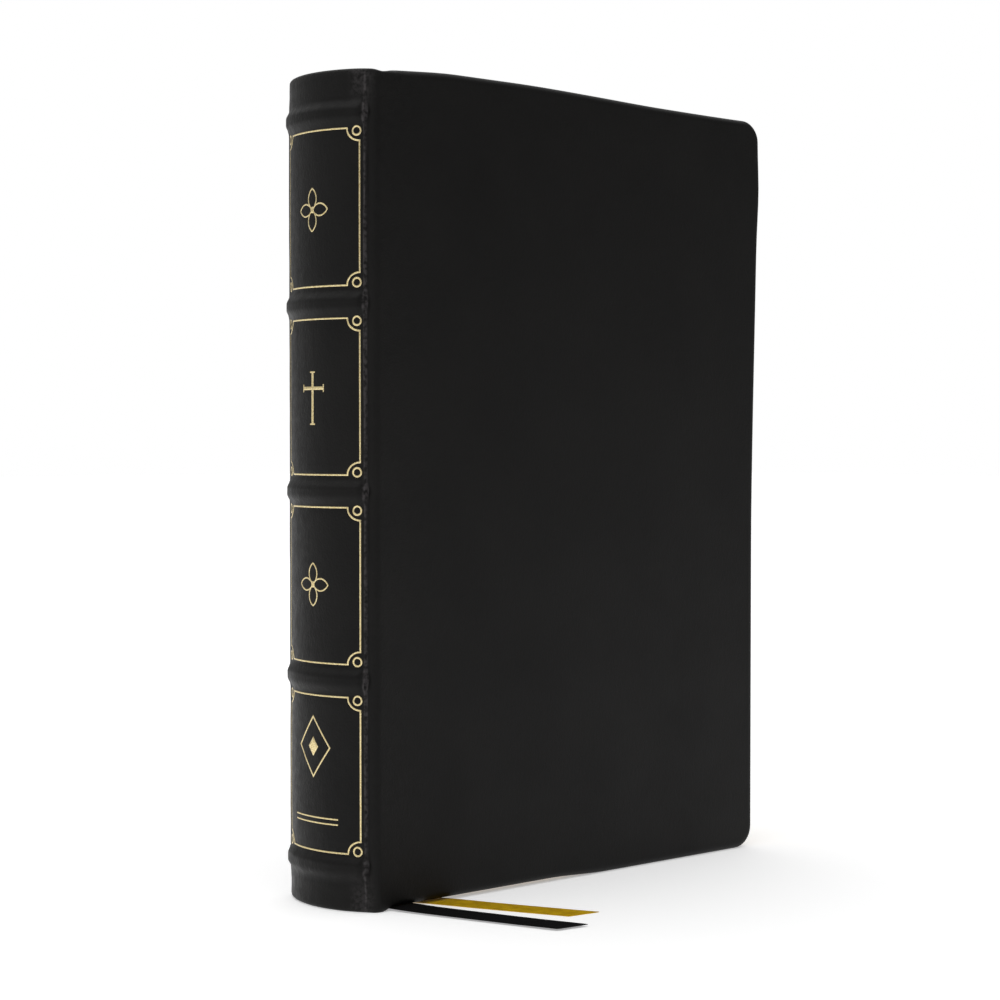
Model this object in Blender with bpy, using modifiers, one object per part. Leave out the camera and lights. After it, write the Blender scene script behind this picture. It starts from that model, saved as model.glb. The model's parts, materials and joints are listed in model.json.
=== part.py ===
"""Hardback bible: leather covers on boards, a rounded hollow-back spine with five raised
bands, a sewn text block in two opening halves, head and tail bands and two ribbon markers.

Frame, in metres: +Z up the book, +X from the spine to the fore-edge, the front cover
faces -Y. The origin is in the middle of the spine's foot, on the plane the book stands on.
Sizes below are in millimetres; MM turns them into metres.
"""

import math

import bmesh
import bpy
from mathutils import Matrix, Vector

MM = 0.001

# Overall
HEIGHT = 238.0  # covers and spine, foot to head
HALF_T = 19.75  # middle of the book to a cover's outer face
FORE = 168.0  # x of the covers' fore-edge
GAP = 0.3  # clearance between pieces that touch in the real book

# Rounded spine, struck about an upright axis at (ARC_X, 0)
ARC_R = 29.9  # outer face of the spine leather
ARC_X = 29.4  # puts the origin in the middle of the leather's thickness
SPINE_HALF_DEG = 37.6
SPINE_LEATHER = 1.0
STIFFENER = (1.3, 2.1)  # depths below the leather's outer face
LINING = (2.6, 3.0)
SEWN_BACK_DEPTH = 3.3  # its front is flat, at the pages' hinge line
CAP_DEPTH = 2.4  # leather turned in over the head and the tail of the spine
CAP_HEIGHT = 1.2

# Raised bands
BAND_Z = (12.4, 65.6, 118.9, 172.1, 225.4)
BAND_RISE = 1.3
BAND_WIDTH = 5.6
BAND_HALF_DEG = 35.0
CORE_WIDTH = 3.6

# Joints: three upright hinge lines in each joint, just outside the cover's outer face
HINGE_Y = 20.0
PAGES_X, FLYLEAF_X, COVER_X = 10.0, 12.6, 15.2
JOINT_LEATHER = 0.9
CORNER_R = 3.0  # the leather turns this corner from the cover's face to the spine

# Covers
COVER_START = COVER_X + GAP
COVER_T = 4.0
LEATHER = 0.8
TURN_IN = 12.0
TURN_IN_T = 0.5
CORNER = 7.0  # rounded fore-edge corners
BOARD_T = 2.2
RELIEF = 1.4  # tail edge lifted near the joint, over the ribbons
RELIEF_END = 84.0
EDGE_ROUND = 1.3

# Endpapers
PAPER = 0.3
FLYLEAF_Y = HALF_T - COVER_T - GAP  # outer face of the flyleaf

# Text block
TAIL_Z, HEAD_Z = 3.5, 234.5
SECTIONS = 8  # in each half
MIDDLE_GAP = 0.9
BLOCK_Y = FLYLEAF_Y - PAPER - GAP
SECTION_WIDTH = 156.5  # fold to fore-edge, so a rounded back hollows the fore-edge

# Ribbon markers
RIBBON_W, RIBBON_T = 10.0, 0.25
RIBBONS = {
    # name: (x of its middle in the gutter, distance off the middle plane, bend radius,
    #        length lying outside the tail, where it starts to run sideways, and how steeply)
    "ribbon_marker_black": (16.6, -0.225, 2.2, 69.5, 12.0, 0.31),
    "ribbon_marker_gold": (26.2, 0.225, 2.65, 58.0, 0.0, 0.43),
}
RIBBON_BEND_Z = 2.775  # centre of the bend under the tail
RIBBON_EASE = 12.0  # length over which a ribbon turns sideways
RIBBON_TIP = 0.15  # slant of its cut end

COLOURS = {
    "black leather": ((0.012, 0.011, 0.010), 0.42),
    "spine leather": ((0.016, 0.015, 0.014), 0.40),
    "grey board": ((0.24, 0.20, 0.16), 0.85),
    "white card": ((0.55, 0.50, 0.42), 0.80),
    "cream paper": ((0.78, 0.72, 0.60), 0.75),
    "endpaper": ((0.70, 0.64, 0.52), 0.70),
    "lining cloth": ((0.62, 0.58, 0.50), 0.90),
    "black ribbon": ((0.015, 0.014, 0.015), 0.50),
    "gold ribbon": ((0.33, 0.25, 0.09), 0.45),
    "banded silk": ((0.45, 0.34, 0.12), 0.60),
    "band core": ((0.30, 0.24, 0.18), 0.85),
}

AXES = {}  # world place of each hinge
parts = bpy.data.collections.new("bible")
cutters = bpy.data.collections.new("cutters")


def start_scene():
    for old in list(bpy.data.objects):
        bpy.data.objects.remove(old, do_unlink=True)
    for group in (parts, cutters):
        bpy.context.scene.collection.children.link(group)
    cutters.hide_render = True


def paint(obj, colour):
    rgb, roughness = COLOURS[colour]
    material = bpy.data.materials.new(obj.name)
    material.use_nodes = True
    shader = material.node_tree.nodes["Principled BSDF"]
    shader.inputs["Base Color"].default_value = (*rgb, 1)
    shader.inputs["Roughness"].default_value = roughness
    shader.inputs["Metallic"].default_value = 0.0
    obj.data.materials.append(material)


def put(name, bm, colour=None):
    """The mesh as a part, or as a hidden cutter if it has no colour."""
    bmesh.ops.recalc_face_normals(bm, faces=bm.faces)
    mesh = bpy.data.meshes.new(name)
    bm.to_mesh(mesh)
    bm.free()
    obj = bpy.data.objects.new(name, mesh)
    if colour:
        parts.objects.link(obj)
        paint(obj, colour)
    else:
        cutters.objects.link(obj)
        obj.hide_render = True
        obj.display_type = "WIRE"
    return obj


def prism(name, outline, low, high, axis="Z", colour=None):
    """An outline pushed along an axis: (x, y) outlines along Z, (x, z) outlines along Y."""
    bm = bmesh.new()
    place = {
        "Z": lambda a, b, c: (a * MM, b * MM, c * MM),
        "Y": lambda a, b, c: (a * MM, c * MM, b * MM),
    }[axis]
    face = bm.faces.new([bm.verts.new(place(a, b, low)) for a, b in outline])
    grown = bmesh.ops.extrude_face_region(bm, geom=[face])["geom"]
    moved = [v for v in grown if isinstance(v, bmesh.types.BMVert)]
    step = (high - low) * MM
    bmesh.ops.translate(bm, verts=moved, vec=(0, 0, step) if axis == "Z" else (0, step, 0))
    return put(name, bm, colour)


def shade_round(obj):
    """Smooth shading over a curved piece, broken at its real edges."""
    obj.data.shade_smooth()
    obj.data.set_sharp_from_angle(angle=math.radians(35))
    return obj


def hinge(name, x, side, parent=None):
    """An empty on a joint's upright axis, for the pieces that turn about it."""
    place = Vector((x * MM, side * HINGE_Y * MM, 0))
    empty = bpy.data.objects.new(name, None)
    empty.empty_display_size = 0.01
    parts.objects.link(empty)
    empty.location = place
    if parent:
        empty.parent = parent
        empty.location = place - AXES[parent.name]
    AXES[name] = place
    return empty


def turn_about(empty, obj):
    """Puts a piece's origin on the joint's axis, without moving the piece."""
    obj.data.transform(Matrix.Translation(-AXES[empty.name]))
    obj.parent = empty


def combine(obj, other, operation):
    modifier = obj.modifiers.new(operation.lower(), "BOOLEAN")
    modifier.operation = operation
    modifier.object = other
    modifier.solver = "EXACT"


def bevel(obj, width, segments=2, angle=40):
    modifier = obj.modifiers.new("rounded edges", "BEVEL")
    modifier.width = width * MM
    modifier.segments = segments
    modifier.limit_method = "ANGLE"
    modifier.angle_limit = math.radians(angle)


def arc(radius, half_degrees, steps):
    """Points of the rounded back at a radius, from the front (-Y) joint to the back one."""
    turn = math.radians(half_degrees)
    angles = [turn * (2 * k / steps - 1) for k in range(steps + 1)]
    return [(ARC_X - radius * math.cos(a), radius * math.sin(a)) for a in angles]


def curved_strip(name, depths, half_degrees, low, high, colour=None, steps=18):
    """A strip that follows the rounded back between two depths below its outer face."""
    outer = arc(ARC_R - depths[0], half_degrees, steps)
    inner = arc(ARC_R - depths[1], half_degrees, steps)
    return shade_round(prism(name, outer + inner[::-1], low, high, "Z", colour))


def back_x(y, depth):
    return ARC_X - math.sqrt((ARC_R - depth) ** 2 - y * y)


def spine_leather():
    """The leather over the back, turned in at both ends and raised over the bands."""
    leather = curved_strip(
        "spine_leather", (0, CAP_DEPTH), SPINE_HALF_DEG, 0, HEIGHT, "spine leather", 24
    )
    hollow = curved_strip(
        "spine hollow", (SPINE_LEATHER, 6), SPINE_HALF_DEG + 6, CAP_HEIGHT, HEIGHT - CAP_HEIGHT
    )
    combine(leather, hollow, "DIFFERENCE")
    for number, z in enumerate(BAND_Z, 1):
        half = BAND_WIDTH / 2
        ridge = curved_strip(
            f"ridge {number}", (-BAND_RISE, 0.5), BAND_HALF_DEG, z - half, z + half, None, 18
        )
        bevel(ridge, 0.5, 2)
        combine(leather, ridge, "UNION")
        half = CORE_WIDTH / 2 + GAP
        groove = curved_strip(
            f"groove {number}", (-0.5, 1.8), BAND_HALF_DEG - 1.2, z - half, z + half
        )
        combine(leather, groove, "DIFFERENCE")


def raised_bands():
    for number, z in enumerate(BAND_Z, 1):
        core = curved_strip(
            f"raised_band_{number}",
            (-0.2, 1.0),
            BAND_HALF_DEG - 1.8,
            z - CORE_WIDTH / 2,
            z + CORE_WIDTH / 2,
            "band core",
        )
        bevel(core, 0.3, 1)


def spine_inside():
    low, high = CAP_HEIGHT + GAP, HEIGHT - CAP_HEIGHT - GAP
    curved_strip("spine_stiffener", STIFFENER, 33.5, low, high, "white card")
    curved_strip("spine_lining", LINING, 31.5, TAIL_Z + 2, HEAD_Z - 2, "lining cloth")
    y = BLOCK_Y - 0.1
    steps = 16
    edge = [y * (2 * k / steps - 1) for k in range(steps + 1)]
    outline = [(back_x(v, SEWN_BACK_DEPTH), v) for v in edge]
    outline += [(PAGES_X, y), (PAGES_X, -y)]
    prism("sewn_back", outline, TAIL_Z, HEAD_Z, "Z", "cream paper")


def end_band(name, low, high):
    """Silk band on the end of the sewn back: a rolled core, so its long edges are round."""
    band = curved_strip(name, (3.2, 5.4), 31.0, low, high, "banded silk")
    bevel(band, 0.7, 2)


def corner_curve(offset, side):
    """The joint leather's surface at a depth, from the spine round the corner to the cover."""
    radius = CORNER_R - offset
    centre_y = HALF_T - CORNER_R
    centre_x = ARC_X - math.sqrt((ARC_R - CORNER_R) ** 2 - centre_y**2)
    start = math.atan2(centre_y, centre_x - ARC_X)  # towards the back, on the arc's side
    points = []
    for k in range(9):
        angle = start + (math.pi / 2 - start) * k / 8
        points.append((centre_x + radius * math.cos(angle), centre_y + radius * math.sin(angle)))
    points.append((COVER_X, HALF_T - offset))
    return [(x, side * y) for x, y in points]


def joint_leather(which, side, axis):
    """The flexible strip of leather between the spine and a cover."""
    outline = corner_curve(0, side) + corner_curve(JOINT_LEATHER, side)[::-1]
    strip = prism(f"{which}_joint_leather", outline, RELIEF, HEIGHT, "Z", "black leather")
    turn_about(axis, shade_round(strip))


def cover_outline(inset, start, tail=0.0):
    """Outline in x and z with round fore-edge corners, open at the joint side."""
    end, low, high = FORE - inset, tail + inset, HEIGHT - inset
    radius = max(CORNER - inset, 1.0)
    points = [(start, low)]
    for cx, cz, first in ((end - radius, low + radius, -90), (end - radius, high - radius, 0)):
        for k in range(9):
            angle = math.radians(first + 90 * k / 8)
            points.append((cx + radius * math.cos(angle), cz + radius * math.sin(angle)))
    return points + [(start, high)]


def flat_piece(name, outline, side, outer, thickness, colour=None):
    """A sheet or board parallel to the covers, its outer face that far from the middle."""
    return prism(name, outline, side * outer, side * (outer - thickness), "Y", colour)


def cover(which, side, axis):
    """A leather tray turned in round three edges, with its board and its pasted-down endpaper."""
    face = HALF_T
    leather = flat_piece(
        f"{which}_cover_leather",
        cover_outline(0, COVER_START),
        side,
        face,
        COVER_T,
        "black leather",
    )
    bevel(leather, EDGE_ROUND, 3)
    pocket = flat_piece(
        f"{which} pocket",
        cover_outline(LEATHER, COVER_START - 5),
        side,
        face - LEATHER,
        COVER_T - LEATHER - TURN_IN_T,
    )
    window = flat_piece(
        f"{which} window",
        cover_outline(TURN_IN, COVER_START - 5),
        side,
        face - LEATHER - 1,
        COVER_T,
    )
    step = [(0, -5), (RELIEF_END, -5), (RELIEF_END, 0), (RELIEF_END - 6, RELIEF), (0, RELIEF)]
    relief = prism(f"{which} relief", step, side * 25, side * 10, "Y")
    combine(leather, pocket, "DIFFERENCE")
    combine(leather, window, "DIFFERENCE")
    shift = LEATHER + GAP
    board = flat_piece(
        f"{which}_board",
        cover_outline(shift, COVER_START + 0.2, RELIEF),
        side,
        face - shift,
        BOARD_T,
        "grey board",
    )
    bevel(board, 0.3, 1)
    combine(leather, relief, "DIFFERENCE")
    pastedown = flat_piece(
        f"{which}_pastedown",
        cover_outline(TURN_IN + GAP, COVER_START + 0.2),
        side,
        face - COVER_T + PAPER,
        PAPER,
        "endpaper",
    )
    for obj in (leather, board, pastedown):
        turn_about(axis, obj)


def leaf_outline(start, end, corner=8.0):
    points = [(start, TAIL_Z)]
    for cz, first in ((TAIL_Z + corner, -90), (HEAD_Z - corner, 0)):
        for k in range(7):
            angle = math.radians(first + 90 * k / 6)
            points.append((end - corner + corner * math.cos(angle), cz + corner * math.sin(angle)))
    return points + [(start, HEAD_Z)]


def flyleaf(which, side, axis):
    outline = leaf_outline(FLYLEAF_X + GAP, FORE - 4.2)
    leaf = flat_piece(f"{which}_flyleaf", outline, side, FLYLEAF_Y, PAPER, "endpaper")
    turn_about(axis, leaf)


def sections(side, first, axis):
    """Half of the text block; each section's fore-edge follows the rounding of the back."""
    pitch = (BLOCK_Y + GAP - MIDDLE_GAP / 2) / SECTIONS
    for k in range(SECTIONS):
        outer = BLOCK_Y - k * pitch
        start = PAGES_X + GAP
        end = back_x(outer - (pitch - GAP) / 2, SEWN_BACK_DEPTH) + SECTION_WIDTH
        number = first + (k if side < 0 else SECTIONS - 1 - k)
        outline = leaf_outline(start, end)
        name = f"section_{number:02d}"
        turn_about(axis, flat_piece(name, outline, side, outer, pitch - GAP, "cream paper"))


def run(beyond):
    """How far along its sideways run a ribbon is: it starts softly."""
    if beyond < RIBBON_EASE:
        return max(0.0, beyond) ** 2 / (2 * RIBBON_EASE)
    return beyond - RIBBON_EASE / 2


def ribbon(name, colour):
    """A flat ribbon down the gutter, round the tail and out along the plane below."""
    x0, off, radius, out, start, lean = RIBBONS[name]
    down = HEAD_Z + 1.0 - RIBBON_BEND_Z
    quarter = radius * math.pi / 2
    length = down + quarter + out
    steps = 96
    bm = bmesh.new()
    bmesh.ops.create_grid(bm, x_segments=2, y_segments=steps, size=0.5)
    for v in bm.verts:
        along = (v.co.y + 0.5) * length
        across = v.co.x * RIBBON_W
        along += (v.co.y > 0.499) * across * RIBBON_TIP
        if along < down:
            y, z = off, RIBBON_BEND_Z + down - along
        elif along < down + quarter:
            angle = (along - down) / radius
            y = off - radius * (1 - math.cos(angle))
            z = RIBBON_BEND_Z - radius * math.sin(angle)
        else:
            y, z = off - radius - (along - down - quarter), RIBBON_BEND_Z - radius
        x = x0 + across + lean * run(along - down - quarter - start)
        v.co = (x * MM, y * MM, z * MM)
    obj = shade_round(put(name, bm, colour))
    thick = obj.modifiers.new("thickness", "SOLIDIFY")
    thick.thickness = RIBBON_T * MM
    thick.offset = 0


def build():
    start_scene()
    spine_leather()
    raised_bands()
    spine_inside()
    end_band("headband", HEAD_Z + GAP, HEAD_Z + 2.3)
    end_band("tailband", 1.5, TAIL_Z - GAP)
    for which, side, first in (("front", -1, 1), ("back", 1, SECTIONS + 1)):
        pages_axis = hinge(f"{which} pages hinge", PAGES_X, side)
        flyleaf_axis = hinge(f"{which} flyleaf hinge", FLYLEAF_X, side, pages_axis)
        cover_axis = hinge(f"{which} cover hinge", COVER_X, side, flyleaf_axis)
        sections(side, first, pages_axis)
        flyleaf(which, side, flyleaf_axis)
        joint_leather(which, side, pages_axis)
        cover(which, side, cover_axis)
    ribbon("ribbon_marker_black", "black ribbon")
    ribbon("ribbon_marker_gold", "gold ribbon")


build()
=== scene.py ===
import json
import math
import random

import bmesh
import bpy
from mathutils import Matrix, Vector, noise


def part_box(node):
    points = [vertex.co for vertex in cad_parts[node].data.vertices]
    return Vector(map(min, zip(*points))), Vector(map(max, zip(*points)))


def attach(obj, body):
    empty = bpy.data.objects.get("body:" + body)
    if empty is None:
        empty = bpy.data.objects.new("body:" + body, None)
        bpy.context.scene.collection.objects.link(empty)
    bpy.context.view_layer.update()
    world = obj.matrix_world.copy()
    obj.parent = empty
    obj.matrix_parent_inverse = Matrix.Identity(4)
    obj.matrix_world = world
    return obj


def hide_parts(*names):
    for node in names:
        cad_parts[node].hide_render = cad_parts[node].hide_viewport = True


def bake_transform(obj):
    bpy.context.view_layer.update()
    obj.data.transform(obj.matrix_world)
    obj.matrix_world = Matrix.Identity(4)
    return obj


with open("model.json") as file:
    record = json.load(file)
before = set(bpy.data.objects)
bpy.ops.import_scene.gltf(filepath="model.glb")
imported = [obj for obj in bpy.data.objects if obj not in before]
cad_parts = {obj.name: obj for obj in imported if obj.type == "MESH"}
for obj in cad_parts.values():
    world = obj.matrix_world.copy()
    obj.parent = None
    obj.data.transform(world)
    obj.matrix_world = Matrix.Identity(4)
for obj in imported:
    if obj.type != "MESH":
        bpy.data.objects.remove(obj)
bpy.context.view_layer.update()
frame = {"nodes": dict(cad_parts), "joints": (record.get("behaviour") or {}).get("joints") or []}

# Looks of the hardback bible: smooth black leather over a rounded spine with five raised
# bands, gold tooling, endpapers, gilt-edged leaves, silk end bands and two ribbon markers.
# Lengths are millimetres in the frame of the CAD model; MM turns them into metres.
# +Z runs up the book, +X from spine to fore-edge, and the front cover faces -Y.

MM = 0.001


def box_mm(node):
    """Lowest and highest corners of a CAD node."""
    low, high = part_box(node)
    return low / MM, high / MM


# ---------------------------------------------------------------- sizes from the frame

cover_low, cover_high = box_mm("front_cover_leather")
spine_low = box_mm("spine_leather")[0]
pastedown_high = box_mm("front_pastedown")[1]
flyleaf_low, flyleaf_high = box_mm("front_flyleaf")

HEIGHT = cover_high.z
FORE = cover_high.x
HALF_T = -cover_low.y
COVER_START = cover_low.x
COVER_T = cover_high.y - cover_low.y
TAIL_Z, HEAD_Z = flyleaf_low.z, flyleaf_high.z
PASTEDOWN_MARGIN = HEIGHT - pastedown_high.z

BAND_RISE = 1.3
BAND_Z = [sum(b.z for b in box_mm(f"raised_band_{k}")) / 2 for k in range(1, 6)]
ARC_R = 29.9  # rounded spine, struck about an upright axis at (ARC_X, 0)
ARC_X = spine_low.x + BAND_RISE + ARC_R
CORNER_R = 3.0  # turn from the spine into the cover's face

HINGE = {}  # joint name: its place in plan
for joint in frame["joints"]:
    HINGE[joint["name"]] = [v / MM for v in joint["pos_m"]]
PAGES_X = HINGE["front_pages_open"][0]
FLYLEAF_X = HINGE["front_flyleaf_turn"][0]
COVER_X = HINGE["front_cover_open"][0]

# ---------------------------------------------------------------- sizes of the looks

SKIN = 0.9  # thickness of the spine and joint leather
FOLD = 1.7  # two layers of leather at a turned-in edge
CAP_DEPTH = 2.45  # the cap also wraps the spine's card
TURN_DOWN = 9.0  # how far the turned-in leather reaches inside the spine
TURN_IN = 12.0  # how far it reaches over a board's inner face
END_MARGIN = 1.3  # from the spine's ends to its first and last row of points
CORNER = 7.0  # round corners of a cover's fore-edge
BOARD_SKIN = 0.6  # thickness of a cover's leather

TAIL_LIFT = 0.85  # the tail edge rises this far to clear the ribbons
LIFT_START = -3.0  # where it is all the way up, from the cover's start
LIFT_FULL, LIFT_NONE = 76.0, 100.0  # x where it begins and ends its way down
LIFT_REACH = 40.0  # height up the leather that rises with the edge
HEAD_CROWN, HEAD_FALL, HEAD_DIP = 1.25, 0.7, 0.75  # the head edge swells, and sinks at its ends
FLARE = {-1: 2.6, 1: 1.2}  # how far the fore-edge leans out at the head, by side
FLARE_START = 95.0  # height where it begins to lean
FLARE_BASE = -0.45  # where the upright part of the fore-edge lies
FLARE_WIDTH = (40.0, 8.0)  # distances from the fore-edge between which the leaning fades in
FORE_BULGE = (0.7, 214.0, 11.0)  # on the front: size, height, half height

BAND_FLAT, BAND_FOOT = 0.9, 4.0  # half widths of a band's crown and of its foot
BAND_FADE = (15.8, 18.6)  # where a band sinks towards the joint
NIP = (0.16, 4.6, 0.9)  # leather nipped beside a band: depth, distance from it, half width
CREASE_S = 18.9  # the fold beside the spine, measured round from its middle
GROOVE = (0.26, 0.0, 0.45)  # its groove: depth, place from the crease, half width
RIDGE = (-0.30, -0.85, 0.36)  # and the ridge along the groove
TUCKS = (  # beside each band: depth, place from the crease, half width, height, half height
    (0.42, 0.0, 0.9, 0.6, 1.7),
    (-0.30, -1.2, 0.5, -1.9, 1.0),
    (-0.24, -1.7, 0.6, 2.6, 0.8),
)
WAVE, FINE_WAVE = 0.10, 0.035  # unevenness of the spine's leather
CAP_SWELL = (-0.22, 1.8, 1.3)  # at head and tail: depth, distance from the end, half width
CAP_NIP = (0.12, 5.0, 1.6)
FOLD_RUB_AND_HIGHLIGHT = (16.75, 17.35)  # where it is rubbed paler and painted lighter as a highlight, off the middle plane

WIDTH_OF_LINE = 0.56  # gold tooling
FRAME_HALF = 16.6
FRAME_MARGINS = ((4.05, 4.7), (4.65, 4.3), (4.9, 4.1), (5.1, 4.15))  # to the bands, tail first
NOTCH = (3.9, 3.6)

LEAVES = 6  # leaf groups shown in each section
RIBBON_W, RIBBON_T = 10.0, 0.25
RIBBONS = {
    # node: (x in the gutter, distance off the middle plane, bend radius, length lying
    #        outside the tail, where it starts to run sideways, how steeply, slot)
    "ribbon_marker_black": (16.6, -0.225, 2.2, 69.5, 12.0, 0.31, "black_ribbon"),
    "ribbon_marker_gold": (26.2, 0.225, 2.65, 58.0, 0.0, 0.43, "gold_ribbon"),
}
RIBBON_BEND_Z = 2.775
RIBBON_EASE = 12.0  # length over which a ribbon turns sideways
RIBBON_TIP = 0.15  # slant of its cut end
RIBBON_STEPS = 180
UV_LENGTH = 300.0  # length of ribbon that one unit of its texture map covers

CAMERA_TURN, CAMERA_RISE = -42.884, 1.589  # degrees
CAMERA_AIM = (26.27, -49.63, 117.08)
CAMERA_DISTANCE = 650.0
CAMERA_LENS = 84.377

SIDES = (("front", -1, 1), ("back", 1, 9))  # name, sign of Y, number of the first section
SECTIONS = 8  # on each side


def smooth(low, high, value):
    """0 below low, 1 above high, and an S-curve between."""
    t = min(1.0, max(0.0, (value - low) / (high - low)))
    return t * t * (3 - 2 * t)


def swell(value, middle, half_width):
    """1 at a middle value, and dying away smoothly on both sides of it."""
    return math.exp(-(((value - middle) / half_width) ** 2))


def spread(low, high, count):
    """The ends of a range and the points that divide it evenly."""
    return [low + (high - low) * k / count for k in range(count + 1)]


# ---------------------------------------------------------------- helpers


def add(name, data):
    """A new object in the scene."""
    obj = bpy.data.objects.new(name, data)
    bpy.context.scene.collection.objects.link(obj)
    return obj


def s_curve(node, *limits):
    """Sets a map-range node to run smoothly between its limits."""
    node.interpolation_type = "SMOOTHSTEP"
    for name, number in zip(("From Min", "From Max", "To Min", "To Max"), limits):
        node.inputs[name].default_value = number


def make(name, verts, faces, looks, picks=None, sharp=35):
    """A mesh object from points in millimetres, with its rest place kept for its material."""
    mesh = bpy.data.meshes.new(name)
    mesh.from_pydata([tuple(c * MM for c in v) for v in verts], [], faces)
    for look in looks if isinstance(looks, (list, tuple)) else [looks]:
        mesh.materials.append(look)
    if picks:
        mesh.polygons.foreach_set("material_index", picks)
    bm = bmesh.new()
    bm.from_mesh(mesh)
    bmesh.ops.recalc_face_normals(bm, faces=bm.faces)
    bm.to_mesh(mesh)
    bm.free()
    mesh.shade_smooth()
    mesh.set_sharp_from_angle(angle=math.radians(sharp))
    rest = mesh.attributes.new("rest", "FLOAT_VECTOR", "POINT")
    rest.data.foreach_set("vector", [c for v in verts for c in v])
    return add(name, mesh)


def tube(columns, closed_columns=False):
    """Faces that join closed loops of points, one loop a column, with caps at the ends."""
    verts = [p for column in columns for p in column]
    around, count = len(columns[0]), len(columns)
    faces = []
    for i in range(count if closed_columns else count - 1):
        a, b = i * around, (i + 1) % count * around
        for k in range(around):
            n = (k + 1) % around
            faces.append((a + k, a + n, b + n, b + k))
    if not closed_columns:
        faces.append(tuple(range(around)))
        faces.append(tuple(range(len(verts) - around, len(verts)))[::-1])
    return verts, faces


def map_texture(obj, name, marks):
    """A texture map with one place for each point."""
    layer = obj.data.uv_layers.new(name=name)
    for loop in obj.data.loops:
        layer.data[loop.index].uv = marks[loop.vertex_index]


# ---------------------------------------------------------------- shape of the leather

ARC_END_X = ARC_X - math.sqrt((ARC_R - CORNER_R) ** 2 - (HALF_T - CORNER_R) ** 2)
ARC_END = math.atan2(HALF_T - CORNER_R, ARC_X - ARC_END_X)
ARC_LENGTH = ARC_R * ARC_END
CORNER_LENGTH = CORNER_R * (math.pi / 2 - ARC_END)
SKIN_END_X = 2 * PAGES_X - (PAGES_X + FLYLEAF_X) / 2  # the joint's first strip is centred
SKIN_END = ARC_LENGTH + CORNER_LENGTH + SKIN_END_X - ARC_END_X


def plan(s):
    """Place and outward direction in plan, that far round from the spine's middle."""
    side, far = math.copysign(1.0, s), abs(s)
    if far <= ARC_LENGTH:
        a = far / ARC_R
        x, y, nx, ny = ARC_X - ARC_R * math.cos(a), ARC_R * math.sin(a), -math.cos(a), math.sin(a)
    elif far <= ARC_LENGTH + CORNER_LENGTH:
        a = ARC_END + (far - ARC_LENGTH) / CORNER_R
        x = ARC_END_X - CORNER_R * math.cos(a)
        y = HALF_T - CORNER_R + CORNER_R * math.sin(a)
        nx, ny = -math.cos(a), math.sin(a)
    else:
        x, y, nx, ny = ARC_END_X + far - ARC_LENGTH - CORNER_LENGTH, HALF_T, 0.0, 1.0
    return x, side * y, nx, side * ny


def s_of_x(x, side):
    """The distance round that reaches x on a cover's face."""
    return side * (ARC_LENGTH + CORNER_LENGTH + x - ARC_END_X)


def bands(s, z):
    """How far the raised bands stand out."""
    crown = max(1 - smooth(BAND_FLAT, BAND_FOOT, abs(z - band)) for band in BAND_Z)
    return BAND_RISE * crown * (1 - smooth(*BAND_FADE, abs(s)))


def folds(s, z):
    """Small shapes of worked leather: nips beside the bands, the joint's crease, soft waves."""
    far = abs(s)
    depth = 0.0
    for band in BAND_Z:
        deep, away, width = NIP
        depth += deep * swell(abs(z - band), away, width) * (1 - smooth(13, 18, far))
        for deep, across, width, up, tall in TUCKS:
            depth += deep * swell(far, CREASE_S + across, width) * swell(z - band, up, tall)
    ends = smooth(3, 12, z) * smooth(3, 12, HEIGHT - z)
    wander = 0.14 * math.sin(z * 0.061 + 1.0) + 0.08 * math.sin(z * 0.19)
    for deep, across, width in (GROOVE, RIDGE):
        depth += deep * ends * swell(far, CREASE_S + wander + across, width)
    wave = noise.noise(Vector((s * 0.09, z * 0.05, 3.0)))
    fine = noise.noise(Vector((s * 0.35, z * 0.22, 9.0)))
    depth += (WAVE * wave + FINE_WAVE * fine) * (1 - smooth(19, 22, far))
    for end in (z, HEIGHT - z):  # the caps swell a little, and the panel below them is nipped
        for (deep, away, width), stop in ((CAP_SWELL, 21), (CAP_NIP, 20)):
            depth += deep * swell(end, away, width) * (1 - smooth(15, stop, far))
    return depth


def leather_point(s, z, depth):
    x, y, nx, ny = plan(s)
    return (x - nx * depth, y - ny * depth, z)


def surface(s, z, lift=0.0):
    """A point on the spine's outer face, or that far above it."""
    return leather_point(s, z, folds(s, z) - bands(s, z) - lift)


def tail_lift(x):
    """The tail edge rises beside the spine and falls back past the ribbons."""
    rise = smooth(SKIN_END_X + 0.3, COVER_START + LIFT_START, x)
    return TAIL_LIFT * rise * (1 - smooth(LIFT_FULL, LIFT_NONE, x))


def body_heights():
    """Heights where the spine's leather needs points: closer together over the bands."""
    heights = set()
    for band in BAND_Z:
        heights.update(round(band + h, 3) for h in spread(-5.6, 5.6, 22))
    previous = END_MARGIN
    for z in sorted(heights) + [HEIGHT - END_MARGIN]:
        gap = z - previous
        if gap > 3:
            heights.update(round(v, 3) for v in spread(previous, z, math.ceil(gap / 2.4)))
        previous = z
    return [z for z in sorted(heights) if END_MARGIN <= z <= HEIGHT - END_MARGIN]


def fold_over(depth, height):
    """Half an ellipse over a turned-in edge: pairs of (depth, rise above its foot)."""
    points = []
    for k in range(1, 10):
        a = math.pi * k / 10
        points.append((depth * (1 - math.cos(a)) / 2, height * math.sin(a)))
    return points


def head_rise(x):
    """The head edge crowns along the cover, then falls to the fore corner, and dips at the joint."""
    crown = HEAD_CROWN * smooth(8, 38, x) * (1 - smooth(60, 125, x))
    return crown - HEAD_FALL * smooth(95, 160, x) - HEAD_DIP * swell(x, 9.5, 3.6)


def lifted(x, z):
    """A height on the leather, moved near the tail and head edges."""
    foot = tail_lift(x) * (1 - min(1.0, z / LIFT_REACH))
    return z + foot + head_rise(x) * smooth(HEIGHT - 11, HEIGHT - 1.5, z)


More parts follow.
